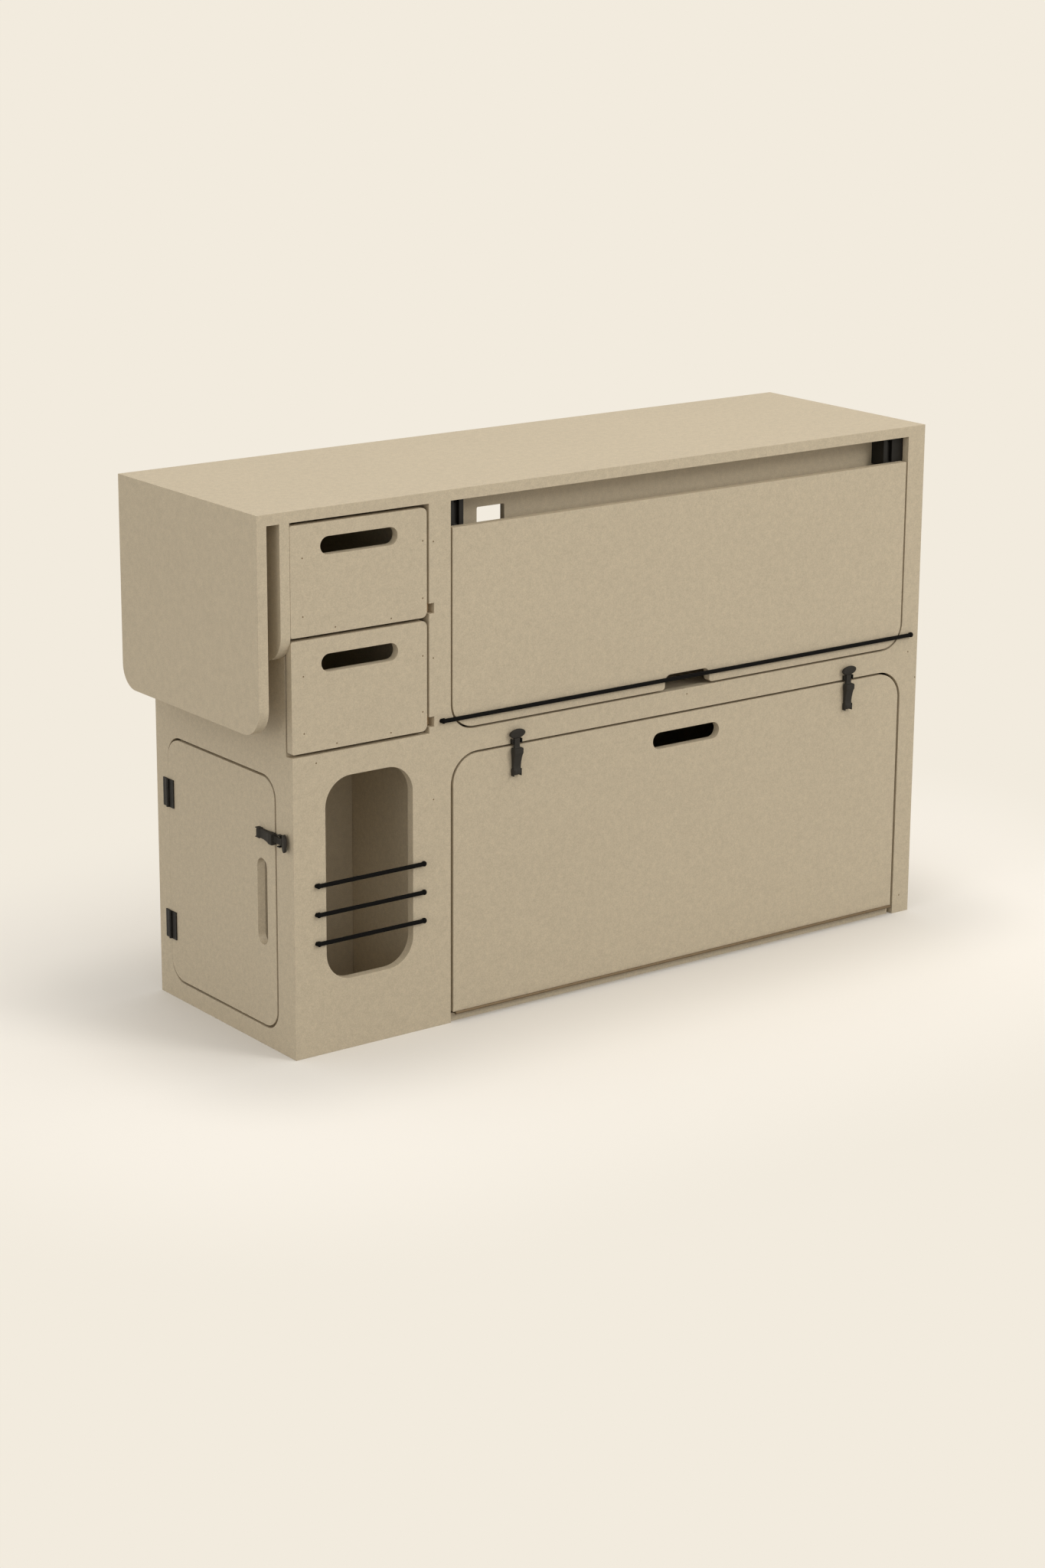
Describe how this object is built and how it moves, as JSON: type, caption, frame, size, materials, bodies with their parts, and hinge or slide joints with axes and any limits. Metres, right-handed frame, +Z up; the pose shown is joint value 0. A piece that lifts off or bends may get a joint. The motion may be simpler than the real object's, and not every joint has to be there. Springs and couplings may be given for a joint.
{
  "type": "campervan side unit",
  "caption": "Slim van side cabinet with drawers, a fold-up flap, a drop-down door, a side door, a corded cubby and a slotted overhang under one worktop.",
  "frame": {"origin": "On the floor, under the middle of the whole unit's box, overhang and front latches included", "axes": "+X to the right along the front, +Y from the front to the back, +Z up"},
  "size_m": [1.1454, 0.3556, 0.74],
  "materials": {
    "sand_laminate": "matte sand laminate with a fine mottle, edges in the same colour",
    "bare_board": "bare sanded wood",
    "black_hinge": "black satin",
    "black_rubber": "matte black",
    "steel": "plain steel",
    "bronze_hinge": "brown bronzed satin",
    "elastic_cord": "black woven sheath over elastic"
  },
  "bodies": {
    "cabinet": {"top_panel": "sand_laminate", "overhang_outer_panel": "sand_laminate", "overhang_inner_panel": "sand_laminate", "left_side_panel": "sand_laminate", "front_panel": "sand_laminate", "right_end_panel": "sand_laminate", "bottom_panel": "sand_laminate", "back_panel": "sand_laminate", "flap_crossbar": "sand_laminate", "middle_divider": "sand_laminate", "drawer_bay_floor": "sand_laminate", "main_shelf": "sand_laminate", "cubby_partition": "sand_laminate", "flap_hinge_block_left": "black_hinge", "flap_hinge_block_right": "black_hinge", "flap_hinge_pin_left": "black_hinge", "flap_hinge_pin_right": "black_hinge", "flap_cord": "elastic_cord", "piano_hinge_fixed_leaf": "bronze_hinge", "piano_hinge_pin": "bronze_hinge", "side_hinge_lower_fixed_leaf": "black_hinge", "side_hinge_lower_pin": "steel", "side_hinge_upper_fixed_leaf": "black_hinge", "side_hinge_upper_pin": "steel", "door_latch_left_keeper": "black_hinge", "door_latch_right_keeper": "black_hinge", "side_latch_keeper": "black_hinge", "cubby_cord_lower": "elastic_cord", "cubby_cord_middle": "elastic_cord", "cubby_cord_upper": "elastic_cord"},
    "drawer_upper": {"drawer_upper_front": "sand_laminate", "drawer_upper_left_side": "sand_laminate", "drawer_upper_right_side": "sand_laminate", "drawer_upper_bottom": "sand_laminate", "drawer_upper_back": "sand_laminate", "drawer_upper_left_runner": "bare_board", "drawer_upper_right_runner": "bare_board"},
    "drawer_lower": {"drawer_lower_front": "sand_laminate", "drawer_lower_left_side": "sand_laminate", "drawer_lower_right_side": "sand_laminate", "drawer_lower_bottom": "sand_laminate", "drawer_lower_back": "sand_laminate", "drawer_lower_left_runner": "bare_board", "drawer_lower_right_runner": "bare_board"},
    "flap": {"flap_panel": "sand_laminate", "flap_hinge_arm_left": "black_hinge", "flap_hinge_arm_right": "black_hinge"},
    "lower_door": {"lower_door_panel": "sand_laminate", "piano_hinge_door_leaf": "bronze_hinge", "door_latch_left_bracket": "black_hinge", "door_latch_right_bracket": "black_hinge"},
    "door_latch_left": {"door_latch_left_strap": "black_rubber"},
    "door_latch_right": {"door_latch_right_strap": "black_rubber"},
    "side_door": {"side_door_panel": "sand_laminate", "side_hinge_lower_door_leaf": "black_hinge", "side_hinge_upper_door_leaf": "black_hinge", "side_latch_bracket": "black_hinge"},
    "side_latch": {"side_latch_strap": "black_rubber"}
  },
  "joints": [
    {"name": "drawer_upper_slide", "type": "slide", "parent": "cabinet", "child": "drawer_upper", "axis": [0, -1, 0], "range_m": [0, 0.25]},
    {"name": "drawer_lower_slide", "type": "slide", "parent": "cabinet", "child": "drawer_lower", "axis": [0, -1, 0], "range_m": [0, 0.25]},
    {"name": "flap_hinge", "type": "hinge", "parent": "cabinet", "child": "flap", "pos_m": [0.1344, -0.14225, 0.715], "axis": [-1, 0, 0], "range_deg": [0, 90], "deforming": ["flap_cord"]},
    {"name": "lower_door_hinge", "type": "hinge", "parent": "cabinet", "child": "lower_door", "pos_m": [0.1344, -0.16925, 0.01325], "axis": [1, 0, 0], "range_deg": [0, 80]},
    {"name": "door_latch_left_pivot", "type": "hinge", "parent": "lower_door", "child": "door_latch_left", "pos_m": [-0.1656, -0.17145, 0.339], "axis": [1, 0, 0], "range_deg": [0, 75]},
    {"name": "door_latch_right_pivot", "type": "hinge", "parent": "lower_door", "child": "door_latch_right", "pos_m": [0.4344, -0.17145, 0.339], "axis": [1, 0, 0], "range_deg": [0, 75]},
    {"name": "side_door_hinge", "type": "hinge", "parent": "cabinet", "child": "side_door", "pos_m": [-0.52575, 0.14555, 0.0294], "axis": [0, 0, -1], "range_deg": [0, 110]},
    {"name": "side_latch_pivot", "type": "hinge", "parent": "side_door", "child": "side_latch", "pos_m": [-0.52745, -0.08955, 0.2977], "axis": [0, 0, -1], "range_deg": [0, 75]}
  ]
}
